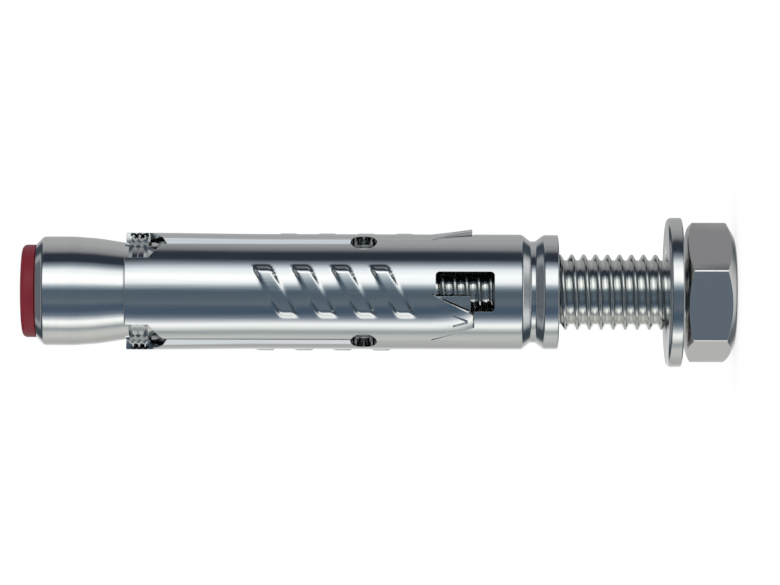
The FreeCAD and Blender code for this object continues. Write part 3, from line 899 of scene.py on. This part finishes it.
def make_studio_light():
    """Soft boxes and dark flags round the anchor, as bands of the surroundings that run along its axis."""
    world = bpy.data.worlds.new("studio")
    bpy.context.scene.world = world
    world.use_nodes = True
    nodes, links = world.node_tree.nodes, world.node_tree.links
    place = nodes.new("ShaderNodeTexCoord")
    parts = nodes.new("ShaderNodeSeparateXYZ")
    links.new(place.outputs["Generated"], parts.inputs["Vector"])
    backwards = [maths(nodes, links, "MULTIPLY", parts.outputs[axis], -1.0) for axis in "XY"]
    bearing = maths(nodes, links, "ARCTAN2", *backwards)
    ramp = nodes.new("ShaderNodeValToRGB")
    elements = ramp.color_ramp.elements
    for number, (angle, colour) in enumerate(LIGHT_BANDS):
        position = angle / 360 + 0.5
        element = elements[number] if number < 2 else elements.new(position)
        element.position = position
        element.color = (*colour, 1)
    links.new(spread(nodes, links, bearing, 0, 1, -math.pi, math.pi), ramp.inputs["Fac"])
    colour = ramp.outputs["Color"]
    height = parts.outputs["Z"]
    distance = maths(nodes, links, "ABSOLUTE", height)
    layers = ((distance, FLAG), (distance, POLE), (height, HEAD_END), (height, CAP_END))
    for source, (start, end, far_colour) in layers:
        colour = mixed(nodes, links, spread(nodes, links, source, 0, 1, start, end), colour, far_colour)
    path = nodes.new("ShaderNodeLightPath")
    even = maths(nodes, links, "MAXIMUM", path.outputs["Is Camera Ray"], path.outputs["Is Diffuse Ray"])
    links.new(mixed(nodes, links, even, colour, WHITE), nodes["Background"].inputs["Color"])


FLOOR_SIZE = 0.6
FLOOR_GAP = 0.02 * MM
FLOOR_GLOW = 0.8
FLOOR_PAINT = (0.85, 0.85, 0.85, 1)
FLOOR_PAINT_SEEN = (0.25, 0.25, 0.25, 1)


def make_floor():
    """Plain pale floor: nearly white to the camera, with a faint shadow, and out of the metal's sight."""
    set_down_everything()
    bpy.ops.mesh.primitive_plane_add(size=FLOOR_SIZE, location=(0, 0, cad_box[0].z - FLOOR_GAP))
    floor = named_primitive("floor")
    material, nodes, links, shader = new_material("pale_floor")
    shader.inputs["Base Color"].default_value = FLOOR_PAINT
    shader.inputs["Roughness"].default_value = 1.0
    shader.inputs["Specular IOR Level"].default_value = 0.0
    path = nodes.new("ShaderNodeLightPath")
    glow = nodes.new("ShaderNodeEmission")
    strength = maths(nodes, links, "MULTIPLY", path.outputs["Is Camera Ray"], FLOOR_GLOW)
    links.new(strength, glow.inputs["Strength"])
    faint = nodes.new("ShaderNodeBsdfDiffuse")
    faint.inputs["Color"].default_value = FLOOR_PAINT_SEEN
    seen = nodes.new("ShaderNodeMixShader")
    links.new(path.outputs["Is Camera Ray"], seen.inputs["Fac"])
    links.new(shader.outputs["BSDF"], seen.inputs[1])
    links.new(faint.outputs["BSDF"], seen.inputs[2])
    both = nodes.new("ShaderNodeAddShader")
    links.new(seen.outputs["Shader"], both.inputs[0])
    links.new(glow.outputs["Emission"], both.inputs[1])
    clear = nodes.new("ShaderNodeBsdfTransparent")
    reflected = nodes.new("ShaderNodeMixShader")
    links.new(path.outputs["Is Glossy Ray"], reflected.inputs["Fac"])
    links.new(both.outputs["Shader"], reflected.inputs[1])
    links.new(clear.outputs["BSDF"], reflected.inputs[2])
    links.new(reflected.outputs["Shader"], nodes["Material Output"].inputs["Surface"])
    floor.data.materials.append(material)


CAMERA_DISTANCE = 0.5
CAMERA_HEIGHT = 35.99 * MM
CAMERA_DROP = 0.085 * MM
CAMERA_ROLL = math.radians(0.15)
VIEW_WIDTH = 81.5 * MM
SENSOR_WIDTH = 36.0
CLIP_RANGE = (0.01, 10)


def make_camera():
    """Level camera in front of the anchor, rolled so that the cap points to the left."""
    data = bpy.data.cameras.new("camera")
    camera = bpy.data.objects.new("camera", data)
    bpy.context.collection.objects.link(camera)
    data.sensor_width = SENSOR_WIDTH
    data.lens = SENSOR_WIDTH * CAMERA_DISTANCE / VIEW_WIDTH
    data.clip_start, data.clip_end = CLIP_RANGE
    across, upwards, backwards = Vector((0, 0, -1)), Vector((1, 0, 0)), Vector((0, -1, 0))
    turn = Matrix((across, upwards, backwards)).transposed().to_4x4()
    place = Matrix.Translation((-CAMERA_DROP, -CAMERA_DISTANCE, CAMERA_HEIGHT))
    camera.matrix_world = place @ turn @ Matrix.Rotation(CAMERA_ROLL, 4, "Z")
    bpy.context.scene.camera = camera


# The anchor in its studio

bolt_zinc = zinc("bolt_zinc", (0.82, 0.83, 0.81), (0.76, 0.78, 0.77), (0.10, 0.14), EVEN, 0.0006 * MM,
                 satin_below=HEAD_HEIGHT)
washer_zinc = zinc("washer_zinc", (0.84, 0.85, 0.84), (0.78, 0.80, 0.81), (0.12, 0.18), EVEN, 0.001 * MM)
sleeve_zinc = zinc("sleeve_zinc", (0.87, 0.88, 0.88), (0.74, 0.77, 0.80), (0.10, 0.17), AXIAL, 0.002 * MM)
cone_zinc = zinc("cone_zinc", (0.87, 0.88, 0.88), (0.82, 0.84, 0.85), (0.08, 0.12), ROUND, 0.0004 * MM)
dress(make_bolt(), bolt_zinc, "hex_bolt", "bolt")
dress(make_washer(), washer_zinc, "washer", "ring")
dress(make_sleeve(), sleeve_zinc, "expansion_sleeve", "sleeve")
dress(make_cone(), cone_zinc, "cone_nut", "cone")
dress(make_cap(), moulded_red(), "end_cap", "cone")
make_studio_light()
make_floor()
make_camera()
bpy.context.scene.view_settings.view_transform = "Standard"
